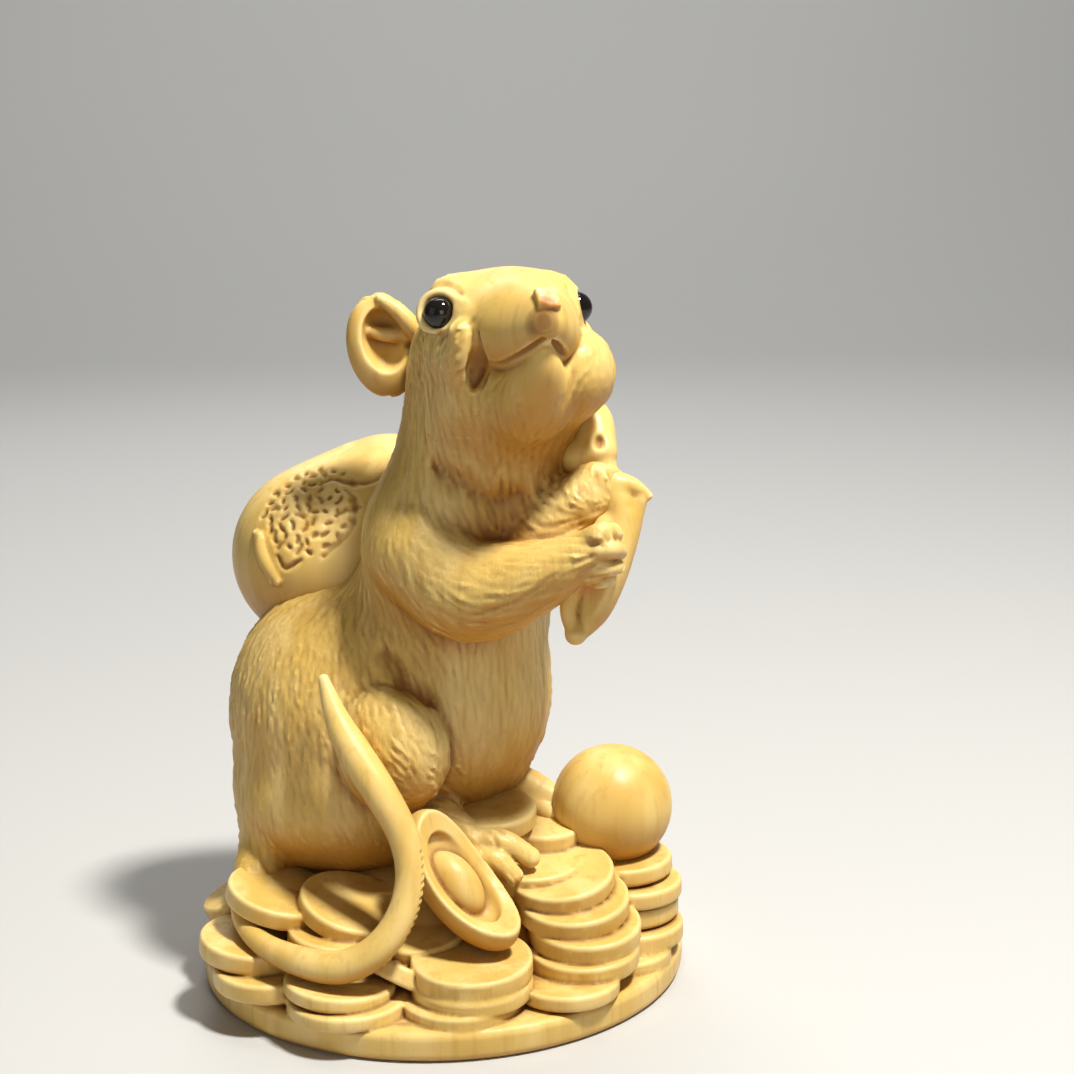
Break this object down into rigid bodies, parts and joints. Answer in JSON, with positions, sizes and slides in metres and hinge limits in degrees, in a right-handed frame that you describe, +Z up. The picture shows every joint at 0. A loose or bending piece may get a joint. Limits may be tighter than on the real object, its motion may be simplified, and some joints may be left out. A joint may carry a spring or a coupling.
{
  "type": "carved wooden mouse figurine",
  "caption": "Boxwood mouse with inlaid bead eyes, sitting on a heap of coins with an ingot and a ball, holding the neck of the sack on its back.",
  "frame": {"origin": "middle of the base's flat underside", "axes": "+Z up; the mouse's head looks along -Y and its body is turned toward +X"},
  "size_m": [0.05, 0.05, 0.0729],
  "materials": {
    "boxwood": "bare, hand-polished, with fine knife strokes",
    "eye_bead": "polished black glass bead, opaque"
  },
  "bodies": {
    "root": {"carving": "boxwood", "eye_right": "eye_bead", "eye_left": "eye_bead"}
  },
  "joints": []
}
